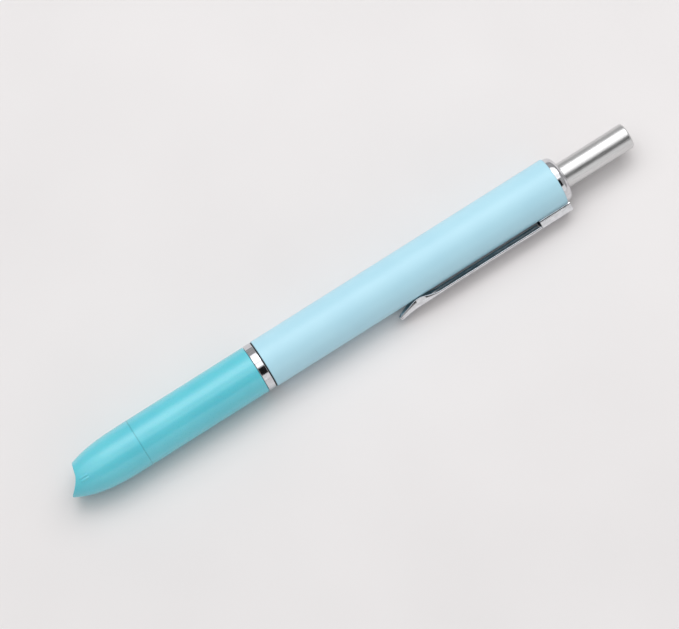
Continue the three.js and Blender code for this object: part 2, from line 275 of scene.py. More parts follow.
plasticSizes = {"toneSize": 0.009, "paleEdge": 0.35, "seamWidth": 0.00022, "seamDarkness": 0.45, "bumpShare": 0.2}
metalSizes = {"paleEdge": 0.5, "darker": 0.86, "lighter": 1.05}


def mouldedPlastic(name, tones, roughness, spread, grain, bump, seams=(), **settings):
    # A moulded or lacquered plastic: drifting tone, fine grain, paler convex edges and darker lines at the
    # seams
    material, tree, shader = newMaterial(name, **settings)
    tone = useGroup(tree, "tone", Tone_A=tones[0], Tone_B=tones[1], Size=plasticSizes["toneSize"])
    fine = useGroup(tree, "grain", Size=grain, Draw_Out=1.0, Roughen=0.55)
    # Convex edges are blended toward the paler third tone
    paled = useGroup(tree, "paleEdge", Amount=plasticSizes["paleEdge"])
    color = blendColors(tree, paled.outputs[0], tone.outputs[0], tones[2])
    for along in seams:
        line = useGroup(tree, "seam", Along=spot(along).x, Width=plasticSizes["seamWidth"])
        # Each seam blends the colour toward the darker fourth tone in a soft line
        seamDarkShare = mathNode(tree, "MULTIPLY", line.outputs[0], plasticSizes["seamDarkness"])
        color = blendColors(tree, seamDarkShare, color, tones[3])
    tree.links.new(color, shader.inputs["Base Color"])
    dull = mapRange(tree, fine.outputs["Mask"], 0.0, 1.0, roughness - spread, roughness + spread)
    tree.links.new(dull, shader.inputs["Roughness"])
    addBump(tree, shader, fine.outputs["Height"], bump, grain * plasticSizes["bumpShare"])
    return material


def metal(name, tone, roughness, spread, size, drawOut, bump, distance):
    # A metal with fine marks drawn out along the pen and brighter convex edges
    material, tree, shader = newMaterial(name, Metallic=1.0)
    marks = useGroup(tree, "grain", Size=size, Draw_Out=drawOut, Roughen=0.6)
    # Convex edges are blended toward the lighter tone
    paled = useGroup(tree, "paleEdge", Amount=metalSizes["paleEdge"])
    dark = tuple(metalSizes["darker"] * part for part in tone[:3]) + (1.0,)
    light = tuple(min(1.0, metalSizes["lighter"] * part) for part in tone[:3]) + (1.0,)
    streaked = blendColors(tree, marks.outputs["Mask"], dark, light)
    tree.links.new(blendColors(tree, paled.outputs[0], streaked, light), shader.inputs["Base Color"])
    dull = mapRange(tree, marks.outputs["Mask"], 0.0, 1.0, roughness - spread, roughness + spread)
    tree.links.new(dull, shader.inputs["Roughness"])
    addBump(tree, shader, marks.outputs["Height"], bump, distance)
    return material


def inkFibre():
    # Bundled fibres along the pen, unevenly soaked with ink
    material, tree, shader = newMaterial("inkFibre", Roughness=0.8)
    strands = useGroup(tree, "grain", Size=0.00011, Draw_Out=14.0, Roughen=0.6)
    patches = useGroup(tree, "tone", Tone_A=linear(38, 178, 196), Tone_B=linear(74, 214, 226), Size=0.002)
    color = blendColors(tree, strands.outputs["Mask"], linear(22, 140, 160), patches.outputs[0])
    tree.links.new(color, shader.inputs["Base Color"])
    addBump(tree, shader, strands.outputs["Height"], 0.7, 0.00006)
    return material


def sealRubber():
    material, tree, shader = newMaterial("sealRubber")
    fine = useGroup(tree, "grain", Size=0.00009, Draw_Out=1.0, Roughen=0.7)
    color = blendColors(tree, fine.outputs["Mask"], linear(26, 28, 30), linear(44, 47, 49))
    tree.links.new(color, shader.inputs["Base Color"])
    tree.links.new(mapRange(tree, fine.outputs["Mask"], 0.0, 1.0, 0.6, 0.85), shader.inputs["Roughness"])
    addBump(tree, shader, fine.outputs["Height"], 0.4, 0.00002)
    return material


noseFrontSeam = span("grip_tube")[0]
ringSpan = span("centre_ring")
barrelSpan = span("barrel")

finishes = {
    "nose_plastic": mouldedPlastic(
        "turquoiseMoulding",
        [linear(95, 201, 217), linear(100, 206, 221), linear(140, 216, 226), linear(66, 160, 176)],
        0.3, 0.03, 0.00022, 0.06, [noseFrontSeam, ringSpan[0]],
        Coat_Weight=0.6, Coat_Roughness=0.18, Coat_IOR=1.5, Subsurface_Weight=0.12, Subsurface_Scale=0.002,
    ),
    "barrel_plastic": mouldedPlastic(
        "powderBlueLacquer",
        [linear(178, 223, 239), linear(182, 226, 241), linear(205, 233, 243), linear(110, 140, 152)],
        0.36, 0.03, 0.00018, 0.08, [barrelSpan[0], barrelSpan[1]],
        Coat_Weight=0.1, Coat_Roughness=0.3, Specular_IOR_Level=0.4,
    ),
    "white_plastic": mouldedPlastic(
        "whiteMoulding",
        [linear(226, 228, 228), linear(233, 234, 233), linear(243, 243, 242), linear(150, 152, 152)],
        0.45, 0.05, 0.0003, 0.1,
    ),
    "grey_plastic": mouldedPlastic(
        "greyMoulding",
        [linear(148, 156, 160), linear(158, 166, 169), linear(190, 195, 197), linear(80, 84, 86)],
        0.45, 0.05, 0.0003, 0.12,
    ),
    "chrome_trim": metal(
        "polishedPlating", linear(222, 222, 225), 0.09, 0.02, 0.0006, 3.0, 0.002, 0.000002,
    ),
    "satin_metal": metal(
        "satinMetal", linear(222, 222, 222), 0.33, 0.06, 0.00006, 60.0, 0.25, 0.00001,
    ),
    "spring_steel": metal(
        "springWire", linear(190, 192, 195), 0.25, 0.05, 0.00015, 1.0, 0.1, 0.00001,
    ),
    "ink_fibre": inkFibre(),
    "seal_rubber": sealRubber(),
}
print("finishes made:", len(finishes))


# Mesh helpers
def link(obj):
    bpy.context.scene.collection.objects.link(obj)
    return obj


def objectFrom(name, points, faces):
    mesh = bpy.data.meshes.new(name)
    mesh.from_pydata(points, [], faces)
    obj = link(bpy.data.objects.new(name, mesh))
    shape = bmesh.new()
    shape.from_mesh(mesh)
    bmesh.ops.remove_doubles(shape, verts=shape.verts, dist=1e-7)
    bmesh.ops.dissolve_degenerate(shape, edges=shape.edges, dist=1e-8)
    bmesh.ops.recalc_face_normals(shape, faces=shape.faces)
    shape.to_mesh(mesh)
    shape.free()
    return obj


def flatten(obj):
    # The evaluated result of every modifier becomes the object's own mesh
    depsgraph = bpy.context.evaluated_depsgraph_get()
    mesh = bpy.data.meshes.new_from_object(obj.evaluated_get(depsgraph), depsgraph=depsgraph)
    mesh.name = obj.name
    obj.modifiers.clear()
    obj.data = mesh
    return obj


def smoothByAngle(obj, degrees):
    shape = bmesh.new()
    shape.from_mesh(obj.data)
    for face in shape.faces:
        face.smooth = True
    for edge in shape.edges:
        edge.smooth = len(edge.link_faces) == 2 and edge.calc_face_angle(0) < radians(degrees)
    shape.to_mesh(obj.data)
    shape.free()
    return obj


def softenEdges(obj, width, segments=2, degrees=32):
    bevel = obj.modifiers.new("softEdge", "BEVEL")
    bevel.width = width * mm
    bevel.segments = segments
    bevel.limit_method = "ANGLE"
    bevel.angle_limit = radians(degrees)
    return flatten(obj)


def cutAway(obj, cutter):
    cut = obj.modifiers.new("cut", "BOOLEAN")
    cut.operation = "DIFFERENCE"
    cut.solver = "EXACT"
    cut.object = cutter
    flatten(obj)
    bpy.data.objects.remove(cutter)
    return obj


def fitPiece(obj, body, slot, *nodes, degrees=35):
    # Smooth shading that keeps the flats flat, then the finish of the piece's slot and its body
    smoothByAngle(obj, degrees)
    weigh = obj.modifiers.new("weigh", "WEIGHTED_NORMAL")
    weigh.keep_sharp = True
    flatten(obj)
    obj.data.materials.clear()
    obj.data.materials.append(finishes[slot])
    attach(obj, body)
    if nodes:
        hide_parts(*nodes)
    return obj


def softCorners(outline, steps=4):
    # Rounds each corner of a closed outline by its third number, by less where its sides are short
    rounded = []
    for index, corner in enumerate(outline):
        here = Vector(corner[:2])
        size = corner[2]
        before = Vector(outline[index - 1][:2]) - here
        after = Vector(outline[(index + 1) % len(outline)][:2]) - here
        reach = min(size, 0.45 * before.length, 0.45 * after.length)
        if size <= 0:
            rounded.append(tuple(here))
            continue
        start = here + before.normalized() * reach
        end = here + after.normalized() * reach
        for step in range(steps + 1):
            share = step / steps
            point = start * (1 - share) ** 2 + here * 2 * share * (1 - share) + end * share ** 2
            rounded.append(tuple(point))
    return rounded


def joinedRows(rows, count, closed):
    # Faces from each closed row of points to the next, and back to the first when closed
    faces = []
    for row in range(rows if closed else rows - 1):
        here = row * count
        there = (row + 1) % rows * count
        for index in range(count):
            after = (index + 1) % count
            faces.append((here + index, here + after, there + after, there + index))
    return faces


def turnedPiece(name, outline, around):
    # A closed outline of (out, along) points turned about the pen's axis
    points = []
    for turn in range(around):
        angle = 2 * pi * turn / around
        for out, along in outline:
            points.append(spot(along, out * cos(angle), out * sin(angle)))
    return objectFrom(name, points, joinedRows(around, len(outline), True))


def prism(name, points):
    # Two rows of points, one for each end face, joined by sides
    count = len(points) // 2
    ends = [tuple(range(count)), tuple(range(count, 2 * count))]
    return objectFrom(name, points, ends + joinedRows(2, count, False))


def extruded(name, outline, halfWidth):
    # An outline of (along, out) points, as thick across the clip as its width
    sides = (-halfWidth, halfWidth)
    return prism(name, [spot(along, out, side, clipRoll) for side in sides for along, out in outline])


def sweptBlock(name, section, front, rear):
    # A closed section of (out, across) points carried straight along the clip
    ends = (front, rear)
    return prism(name, [spot(along, out, across, clipRoll) for along in ends for out, across in section])


def refined(node, body, slot, edge, degrees=32):
    # A CAD node's own shape with its loose triangles joined, edges softened and round faces smooth
    obj = link(bpy.data.objects.new(node + "_fine", frame["nodes"][node].data.copy()))
    shape = bmesh.new()
    shape.from_mesh(obj.data)
    bmesh.ops.remove_doubles(shape, verts=shape.verts, dist=2e-6)
    bmesh.ops.dissolve_limit(
        shape, angle_limit=radians(1), verts=shape.verts, edges=shape.edges, delimit={"NORMAL"}
    )
    shape.to_mesh(obj.data)
    shape.free()
    if edge:
        softenEdges(obj, edge, 2, degrees)
    return fitPiece(obj, body, slot, node, degrees=degrees)


# Geometry Nodes trees
def treeFor(name, sizes):
    tree = bpy.data.node_groups.new(name, "GeometryNodeTree")
    tree.interface.new_socket("Geometry", in_out="INPUT", socket_type="NodeSocketGeometry")
    for label, kind, value in sizes:
        socket = tree.interface.new_socket(label, in_out="INPUT", socket_type=kind)
        socket.default_value = value
    tree.interface.new_socket("Finish", in_out="INPUT", socket_type="NodeSocketMaterial")
    tree.interface.new_socket("Geometry", in_out="OUTPUT", socket_type="NodeSocketGeometry")
    return tree, tree.nodes.new("NodeGroupInput").outputs, tree.nodes.new("NodeGroupOutput")


def endTree(tree, inputs, output, geometry):
    realize = tree.nodes.new("GeometryNodeRealizeInstances")
    paint = tree.nodes.new("GeometryNodeSetMaterial")
    tree.links.new(geometry, realize.inputs[0])
    tree.links.new(realize.outputs[0], paint.inputs["Geometry"])
    tree.links.new(inputs["Finish"], paint.inputs["Material"])
    tree.links.new(paint.outputs[0], output.inputs[0])


def grow(name, tree, finish, **values):
    # A plain mesh from a tree, with its inputs set by their identifiers before it is evaluated
    obj = link(bpy.data.objects.new(name, bpy.data.meshes.new(name)))
    modifier = obj.modifiers.new("grow", "NODES")
    modifier.node_group = tree
    wanted = {label.replace("_", " "): value for label, value in values.items()}
    wanted["Finish"] = finishes[finish]
    for item in tree.interface.items_tree:
        if item.in_out == "INPUT" and item.name in wanted:
            modifier[item.identifier] = wanted[item.name]
    return flatten(obj)


def turnedTubeTree():
    # A tube about X with rounded rims: a filleted wall section carried round a circle
    tree, inputs, output = treeFor(
        "turnedTube",
        [
            ("Start", "NodeSocketVector", (0, 0, 0)),
            ("Length", "NodeSocketFloat", 0.01),
            ("Radius", "NodeSocketFloat", 0.006),
            ("Wall", "NodeSocketFloat", 0.0008),
            ("Edge", "NodeSocketFloat", 0.0001),
            ("Around", "NodeSocketInt", 96),
        ],
    )
    links = tree.links
    section = tree.nodes.new("GeometryNodeCurvePrimitiveQuadrilateral")
    fillet = tree.nodes.new("GeometryNodeFilletCurve")
    fillet.mode = "POLY"
    fillet.inputs["Count"].default_value = 4
    circle = tree.nodes.new("GeometryNodeCurvePrimitiveCircle")
    sweep = tree.nodes.new("GeometryNodeCurveToMesh")
    place = tree.nodes.new("GeometryNodeTransform")
    place.inputs["Rotation"].default_value = (0, pi / 2, 0)
    links.new(inputs["Wall"], section.inputs["Width"])
    links.new(inputs["Length"], section.inputs["Height"])
    links.new(section.outputs[0], fillet.inputs["Curve"])
    links.new(inputs["Edge"], fillet.inputs["Radius"])
    links.new(inputs["Around"], circle.inputs["Resolution"])
    middle = mathNode(tree, "SUBTRACT", inputs["Radius"], mathNode(tree, "MULTIPLY", inputs["Wall"], 0.5))
    links.new(middle, circle.inputs["Radius"])
    links.new(circle.outputs[0], sweep.inputs["Curve"])
    links.new(fillet.outputs[0], sweep.inputs["Profile Curve"])
    shift = tree.nodes.new("ShaderNodeCombineXYZ")
    links.new(mathNode(tree, "MULTIPLY", inputs["Length"], 0.5), shift.inputs[0])
    centre = tree.nodes.new("ShaderNodeVectorMath")
    links.new(inputs["Start"], centre.inputs[0])
    links.new(shift.outputs[0], centre.inputs[1])
    links.new(sweep.outputs[0], place.inputs["Geometry"])
    links.new(centre.outputs[0], place.inputs["Translation"])
    endTree(tree, inputs, output, place.outputs[0])
    return tree


def coilTree():
    # A wire spring about X whose first and last turns lie closed
    tree, inputs, output = treeFor(
        "wireCoil",
        [
            ("Start", "NodeSocketVector", (0, 0, 0)),
            ("Radius", "NodeSocketFloat", 0.004),
            ("Wire", "NodeSocketFloat", 0.0002),
            ("Length", "NodeSocketFloat", 0.02),
            ("Turns", "NodeSocketFloat", 10.0),
            ("Closed", "NodeSocketFloat", 1.0),
            ("Steps", "NodeSocketInt", 400),
        ],
    )
    links = tree.links
    line = tree.nodes.new("GeometryNodeCurvePrimitiveLine")
    resample = tree.nodes.new("GeometryNodeResampleCurve")
    links.new(line.outputs[0], resample.inputs["Curve"])
    links.new(inputs["Steps"], resample.inputs["Count"])
    factor = tree.nodes.new("GeometryNodeSplineParameter").outputs["Factor"]
    turned = mathNode(tree, "MULTIPLY", factor, inputs["Turns"])
    angle = mathNode(tree, "MULTIPLY", turned, 2 * pi)
    flat = mathNode(tree, "MULTIPLY", mathNode(tree, "MULTIPLY", inputs["Wire"], 2.15), inputs["Closed"])
    lastTurn = mathNode(tree, "SUBTRACT", inputs["Turns"], inputs["Closed"])
    free = mathNode(tree, "SUBTRACT", inputs["Length"], mathNode(tree, "MULTIPLY", flat, 2.0))
    front = mapRange(tree, turned, 0.0, inputs["Closed"], 0.0, flat)
    body = mapRange(tree, turned, inputs["Closed"], lastTurn, 0.0, free)
    rear = mapRange(tree, turned, lastTurn, inputs["Turns"], 0.0, flat)
    along = mathNode(tree, "ADD", mathNode(tree, "ADD", front, body), rear)
    point = tree.nodes.new("ShaderNodeCombineXYZ")
    links.new(along, point.inputs[0])
    for axis, turning in ((1, "COSINE"), (2, "SINE")):
        away = mathNode(tree, "MULTIPLY", mathNode(tree, turning, angle), inputs["Radius"])
        links.new(away, point.inputs[axis])
    bend = tree.nodes.new("GeometryNodeSetPosition")
    links.new(resample.outputs[0], bend.inputs["Geometry"])
    links.new(point.outputs[0], bend.inputs["Position"])
    wire = tree.nodes.new("GeometryNodeCurvePrimitiveCircle")
    wire.inputs["Resolution"].default_value = 12
    links.new(inputs["Wire"], wire.inputs["Radius"])
    sweep = tree.nodes.new("GeometryNodeCurveToMesh")
    sweep.inputs["Fill Caps"].default_value = True
    links.new(bend.outputs[0], sweep.inputs["Curve"])
    links.new(wire.outputs[0], sweep.inputs["Profile Curve"])
    place = tree.nodes.new("GeometryNodeTransform")
    links.new(sweep.outputs[0], place.inputs["Geometry"])
    links.new(inputs["Start"], place.inputs["Translation"])
    endTree(tree, inputs, output, place.outputs[0])
    return tree


turnedTube = turnedTubeTree()
wireCoil = coilTree()


def tubePiece(name, node, slot, wall, edge, around=128):
    # A tube with the length and the radius of its CAD node
    front, rear = span(node)
    return grow(
        name, turnedTube, slot, Start=spot(front), Length=(rear - front) * mm,
        Radius=radiusOf(node) * mm, Wall=wall * mm, Edge=edge * mm, Around=around,
    )


# Nose and grip
noseSizes = {
    "lipRadius": 2.6,          # at the tip of the long lip
    "seamRadius": radiusOf("grip_tube"),
    "seam": span("grip_tube")[0] - 0.01,
    "power": 3.3,              # how quickly the nose swells behind the lip
    "seamEdge": 0.06,
    "rimEdge": 0.16,
    "fineRear": 6.0,           # the part with the ribs is divided more finely
    "spigot": {"radius": 5.0, "rear": span("nose_shell")[1], "edge": 0.05, "lead": (0.2, 0.3)},
    "bore": {"radius": 4.4, "edge": 0.05, "throatRear": 10.0},
    "throat": [(0.2, 1.85), (3, 2.6), (4.2, 3.5), (5.6, 4.02), (7.2, 4.3), (9, 4.4)],
    "mouth": {"lip": (2.55, -0.28), "pull": (-0.3, 3.0), "turn": (-2.2, 3.3), "slope": 0.26},
    "rib": {"along": 4.6, "length": 2.0, "apart": 0.77, "width": 0.4, "height": 0.14},
    "around": 192,
    "crowding": 0.34,          # how much closer the sections stand at the ribbed flanks
}


def noseRadius(along):
    swell = (1 - along / noseSizes["seam"]) ** noseSizes["power"]
    return noseSizes["seamRadius"] - (noseSizes["seamRadius"] - noseSizes["lipRadius"]) * swell


def throatRadius(along):
    # The hollow widens from the lip to the bore in a few soft steps
    places = noseSizes["throat"]
    if along <= places[0][0]:
        return places[0][1]
    for (start, first), (end, second) in zip(places, places[1:]):
        if along < end:
            share = (along - start) / (end - start)
            return first + (second - first) * share
    return places[-1][1]


def mouthAlong(out):
    # The beak-shaped opening: a sweep from the long lip, then a shallow slope to the short side
    mouth = noseSizes["mouth"]
    lip, pull, turn = mouth["lip"], mouth["pull"], mouth["turn"]
    if out < turn[0]:
        return turn[1] + (turn[0] - out) * mouth["slope"]
    a = lip[0] - 2 * pull[0] + turn[0]
    b = 2 * (pull[0] - lip[0])
    c = lip[0] - min(out, lip[0])
    share = (-b - sqrt(b * b - 4 * a * c)) / (2 * a)
    return lip[1] * (1 - share) ** 2 + 2 * share * (1 - share) * pull[1] + turn[1] * share ** 2


def rimAlong(radiusAt, angle):
    # Where a wall of the given radius meets the mouth, at this angle round the nose
    low, high = 0.0, 5.5
    for _ in range(30):
        middle = (low + high) / 2
        if middle < mouthAlong(radiusAt(middle) * cos(angle)):
            low = middle
        else:
            high = middle
    return (low + high) / 2


def ribHeight(along, angle):
    # Two short fine ribs lie side by side on each flank of the beak
    rib = noseSizes["rib"]
    height = 0.0
    for flank in (pi / 2, 3 * pi / 2):
        around = (angle - flank) * noseRadius(along)
        for side in (-0.5, 0.5):
            aside = abs(around - side * rib["apart"]) / (rib["width"] / 2)
            ahead = max(0.0, abs(along - rib["along"]) - (rib["length"] - rib["width"]) / 2)
            away = sqrt(aside ** 2 + (ahead / (rib["width"] / 2)) ** 2)
            height += rib["height"] * max(0.0, 1 - away ** 2 / 2.6)
    return height


def noseLoop(angle):
    # One closed section of the nose wall: outside, seam step, spigot, bore, throat and mouth rim
    sizes = noseSizes
    outerRim = rimAlong(noseRadius, angle)
    innerRim = rimAlong(throatRadius, angle)
    outerCorner = Vector((noseRadius(outerRim), outerRim))
    innerCorner = Vector((throatRadius(innerRim), innerRim))
    across = innerCorner - outerCorner
    edge = min(sizes["rimEdge"], 0.35 * across.length)
    step = across.normalized() * edge
    outerStart = outerRim + edge
    fineRear = sizes["fineRear"]
    loop = []
    for index in range(36):
        along = outerStart + (fineRear - outerStart) * index / 36
        loop.append((noseRadius(along) + ribHeight(along, angle), along))
    seamFront = sizes["seam"] - sizes["seamEdge"]
    for index in range(25):
        along = fineRear + (seamFront - fineRear) * index / 24
        loop.append((noseRadius(along), along))
    seamRadius = sizes["seamRadius"]
    drop = sizes["seamEdge"]
    loop += [(seamRadius - 0.3 * drop, sizes["seam"] - 0.3 * drop), (seamRadius - drop, sizes["seam"])]
    spigot, bore = sizes["spigot"], sizes["bore"]
    radius, rear, small = spigot["radius"], spigot["rear"], spigot["edge"]
    loop += [(radius + small, sizes["seam"]), (radius, sizes["seam"] + small)]
    loop += [(radius, rear - spigot["lead"][1]), (radius - spigot["lead"][0], rear)]
    loop += [(bore["radius"] + bore["edge"], rear), (bore["radius"], rear - bore["edge"])]
    innerStart = innerRim + edge
    for index in range(31):
        along = bore["throatRear"] + (innerStart - bore["throatRear"]) * index / 30
        loop.append((throatRadius(along), along))
    innerSide = innerCorner - step
    outerSide = outerCorner + step
    for start, corner, end in (
        (Vector((throatRadius(innerStart), innerStart)), innerCorner, innerSide),
        (outerSide, outerCorner, Vector((noseRadius(outerStart), outerStart))),
    ):
        for index in range(1, 5):
            share = index / 4 if corner is innerCorner else (index - 1) / 4
            point = start * (1 - share) ** 2 + corner * 2 * share * (1 - share) + end * share ** 2
            loop.append(tuple(point))
    return loop


def makeNose():
    around = noseSizes["around"]
    points = []
    for turn in range(around):
        even = 2 * pi * turn / around
        angle = even + noseSizes["crowding"] * sin(2 * even)
        loop = noseLoop(angle)
        for out, along in loop:
            points.append(spot(along, out * cos(angle), out * sin(angle), noseRoll))
    shell = objectFrom("noseShell", points, joinedRows(around, len(loop), True))
    fitPiece(shell, "casing", "nose_plastic", "nose_shell", degrees=40)


makeNose()

gripSizes = {"wall": 0.8, "edge": 0.06}
gripPiece = tubePiece("gripTube", "grip_tube", "nose_plastic", gripSizes["wall"], gripSizes["edge"])
fitPiece(gripPiece, "casing", "nose_plastic", "grip_tube")
print("nose and grip made")

# Barrel, ring and washer
barrelSizes = {
    "wall": 0.85, "edge": 0.1, "around": 160,
    "notch": {"front": barrelSpan[1] - 1.7, "rear": barrelSpan[1] + 1, "inner": 4, "outer": 8, "half": 1.3},
}


def makeBarrel():
    # The rear edge is notched where the clip hooks in
    sizes = barrelSizes
    tube = tubePiece(
        "barrelTube", "barrel", "barrel_plastic", sizes["wall"], sizes["edge"], sizes["around"]
    )
    notch = sizes["notch"]
    front, rear, inner, outer = notch["front"], notch["rear"], notch["inner"], notch["outer"]
    outline = [(front, inner), (rear, inner), (rear, outer), (front, outer)]
    cutter = extruded("notchCutter", outline, notch["half"])
    fitPiece(cutAway(tube, cutter), "casing", "barrel_plastic", "barrel")


makeBarrel()

ringSizes = {"wall": 0.85, "edge": 0.14}
ringPiece = tubePiece("centreRing", "centre_ring", "chrome_trim", ringSizes["wall"], ringSizes["edge"])
fitPiece(ringPiece, "casing", "chrome_trim", "centre_ring")

washerSizes = {"wall": 0.7, "edge": 0.05}
washer = tubePiece("ringWasher", "ring_washer", "seal_rubber", washerSizes["wall"], washerSizes["edge"])
fitPiece(washer, "casing", "seal_rubber", "ring_washer")
print("barrel and ring made")

# Rear collar and button
collarRear = span("rear_collar")[1]
collarSizes = {
    "bore": 4.1, "front": 119.0, "boreEdge": 0.05,
    "plug": 5.0, "plugEdge": 0.2, "seat": barrelSpan[1] + 0.02, "seatEdge": 0.03,
    "dome": {"inner": 4.0, "rise": 1.74, "length": 2.05, "power": 0.8},
    "rim": {"neck": 3.95, "outer": 3.9, "edge": 0.06},
    "lip": {"radius": 3.4, "edge": 0.08, "thick": 0.8},
}


def makeCollar():
    # A plug inside the barrel, a rounded dome behind it and a lip round the button
    sizes = collarSizes
    bore, plug, seat = sizes["bore"], sizes["plug"], sizes["seat"]
    dome, rim, lip = sizes["dome"], sizes["rim"], sizes["lip"]
    outline = softCorners([
        (bore, sizes["front"], sizes["boreEdge"]), (plug, sizes["front"], sizes["plugEdge"]),
        (plug, seat, sizes["seatEdge"]), (plug, seat + 0.5, 0),
    ])[:-1]
    for index in range(17):
        angle = pi / 2 * index / 16
        outline.append((
            dome["inner"] + dome["rise"] * max(0.0, cos(angle)) ** dome["power"],
            seat + dome["length"] * sin(angle) ** dome["power"],
        ))
    outline += [(rim["neck"], seat + dome["length"]), (rim["outer"], collarRear - rim["edge"])]
    outline += [(rim["outer"] - rim["edge"], collarRear), (lip["radius"] + lip["edge"], collarRear)]
    outline += [(lip["radius"], collarRear - lip["edge"]), (lip["radius"], collarRear - lip["thick"])]
    outline.append((bore, collarRear - lip["thick"]))
    fitPiece(turnedPiece("rearCollar", outline, 128), "casing", "chrome_trim", "rear_collar", degrees=40)


makeCollar()

buttonFront, buttonRear = span("button_cap")
buttonSizes = {
    "radius": radiusOf("button_cap"), "bore": 2.7, "boreEdge": 0.15, "frontEdge": 0.06, "rim": 0.5,
    "dish": {"edge": (0.25, 0.05), "half": (1.2, 0.065), "middle": 0.07}, "endThick": 0.8,
}


def makeButton():
    # A hollow cap with a rounded rim and a slightly dished end
    sizes = buttonSizes
    radius, bore, rim, dish = sizes["radius"], sizes["bore"], sizes["rim"], sizes["dish"]
    frontEdge, boreEdge = sizes["frontEdge"], sizes["boreEdge"]
    floorAlong = buttonRear - sizes["endThick"]
    outline = [(bore, buttonFront), (radius - frontEdge, buttonFront), (radius, buttonFront + frontEdge)]
    for index in range(9):
        angle = pi / 2 * index / 8
        outline.append((radius - rim + rim * cos(angle), buttonRear - rim + rim * sin(angle)))
    outline.append((radius - rim - dish["edge"][0], buttonRear - dish["edge"][1]))
    outline += [(dish["half"][0], buttonRear - dish["half"][1]), (0, buttonRear - dish["middle"])]
    outline += [(0, floorAlong), (bore - boreEdge, floorAlong), (bore, floorAlong - boreEdge)]
    fitPiece(turnedPiece("buttonCap", outline, 128), "button", "satin_metal", "button_cap", degrees=30)


makeButton()
print("collar and button made")

# Clip
clipTip, clipRoot = span("clip_arm")
clipSizes = {
    "halfWidth": 2.6,
    "flare": 0.24,             # how far the side walls lean in over each millimetre of height
    "sheet": 0.45,
    "roof": 0.22,
    "slant": 0.03,
    "bend": 0.3,
    "footEdge": 0.21,
    "footInside": [(0, 0.1), (0.05, 0.03), (0.13, 0)],
    "tip": clipTip,
    "tipRadius": 1.25,
    "taperFrom": clipTip + 5.6,
    "taperSlack": 1.5,         # the taper runs out softly into the parallel sides
    "armRear": clipRoot + 0.1,
    "tipShare": 0.2,           # the share of the outline that goes round the tip
    "tipSteps": 20,
    "armSteps": 90,
    "outer": [(0, 8.68), (0.8, 8.62), (4, 8.02), (6, 7.9), (14.6, 7.7), (39.45, 7.75)],
    "foot": [(0, 7.85), (0.6, 7.52), (4.6, 6.05), (5.6, 5.82), (6.8, 5.86), (8.4, 6.38),
             (10.6, 6.92), (12.8, 7.0), (39.45, 7.0)],
}


def curveThrough(places, along):
    # A smooth line through given places, level with its neighbours' slope at each
    if along <= places[0][0]:
        return places[0][1]
    for index, ((start, first), (end, second)) in enumerate(zip(places, places[1:])):
        if along > end:
            continue
        before = places[max(0, index - 1)]
        after = places[min(len(places) - 1, index + 2)]
        slopeIn = (second - before[1]) / (end - before[0])
        slopeOut = (after[1] - first) / (after[0] - start)
        width = end - start
        share = (along - start) / width
        square, cube = share ** 2, share ** 3
        return (
            first * (2 * cube - 3 * square + 1) + slopeIn * width * (cube - 2 * square + share)
            + second * (3 * square - 2 * cube) + slopeOut * width * (cube - square)
        )
    return places[-1][1]


def clipEdgeAt(share):
    # A point on the clip's plan outline and its outward normal, from the tip (0) to the root (1)
    sizes = clipSizes
    tipRadius = sizes["tipRadius"]
    arcShare = sizes["tipShare"]
    centre = sizes["tip"] + tipRadius
    run = Vector((sizes["taperFrom"] - centre, sizes["halfWidth"] - tipRadius))
    lean = atan2(run.y, run.x)
    if share < arcShare:
        angle = (pi / 2 - lean) * share / arcShare
        normal = Vector((-cos(angle), sin(angle)))
        return Vector((centre, 0)) + normal * tipRadius, normal
    straight = (share - arcShare) / (1 - arcShare)
    arcEnd = tipRadius * sin(lean)
    along = centre - arcEnd + (sizes["armRear"] - centre + arcEnd) * straight ** 2
    slack = sizes["taperSlack"]
    past = along - sizes["taperFrom"]
    rise = tan(lean)
    bow = 0.5 * (past - sqrt(past * past + slack * slack))
    side = sizes["halfWidth"] + rise * bow
    slope = rise * 0.5 * (1 - past / sqrt(past * past + slack * slack))
    return Vector((along, side)), Vector((-slope, 1)).normalized()


def clipSection(share):
    # A closed U-shaped section, listed from one foot over the outside and back along the inside
    sizes = clipSizes
    edge, normal = clipEdgeAt(share)
    outer = curveThrough(sizes["outer"], edge.x - clipTip)
    foot = min(curveThrough(sizes["foot"], edge.x - clipTip), outer - sizes["sheet"] - 0.2)
    sheet, bend, footEdge = sizes["sheet"], sizes["bend"], sizes["footEdge"]
    outside = []
    for index in range(4):
        angle = pi / 2 * index / 3
        outside.append((footEdge * (1 - sin(angle)), foot + footEdge * (1 - cos(angle))))
    for index in range(7):
        angle = pi / 2 * index / 6
        outside.append((bend * (1 - cos(angle)), outer - bend * (1 - sin(angle))))
    inside = [(sheet + sizes["slant"], outer - sizes["roof"])]
    inside += [(sheet - inset, foot + above) for inset, above in sizes["footInside"]]

    def placed(inset, out, side):
        point = edge - normal * (inset + sizes["flare"] * (out - foot))
        return spot(point.x, out, max(0.0, point.y) * side, clipRoll)

    ring = [placed(inset, out, 1) for inset, out in outside]
    ring += [placed(inset, out, -1) for inset, out in reversed(outside)]
    ring += [placed(inset, out, -1) for inset, out in reversed(inside)]
    ring += [placed(inset, out, 1) for inset, out in inside]
    return ring


def makeClipArm():
    tipShare, tipSteps, armSteps = clipSizes["tipShare"], clipSizes["tipSteps"], clipSizes["armSteps"]
    stations = [index / tipSteps * tipShare for index in range(tipSteps + 1)]
    stations += [tipShare + (1 - tipShare) * index / armSteps for index in range(1, armSteps + 1)]
    points = []
    for share in stations:
        points += clipSection(share)
    count = len(points) // len(stations)
    faces = joinedRows(len(stations), count, False)
    faces.append(tuple(range(len(points) - count, len(points))))
    fitPiece(objectFrom("clipArm", points, faces), "clip", "chrome_trim", "clip_arm", degrees=38)


makeClipArm()

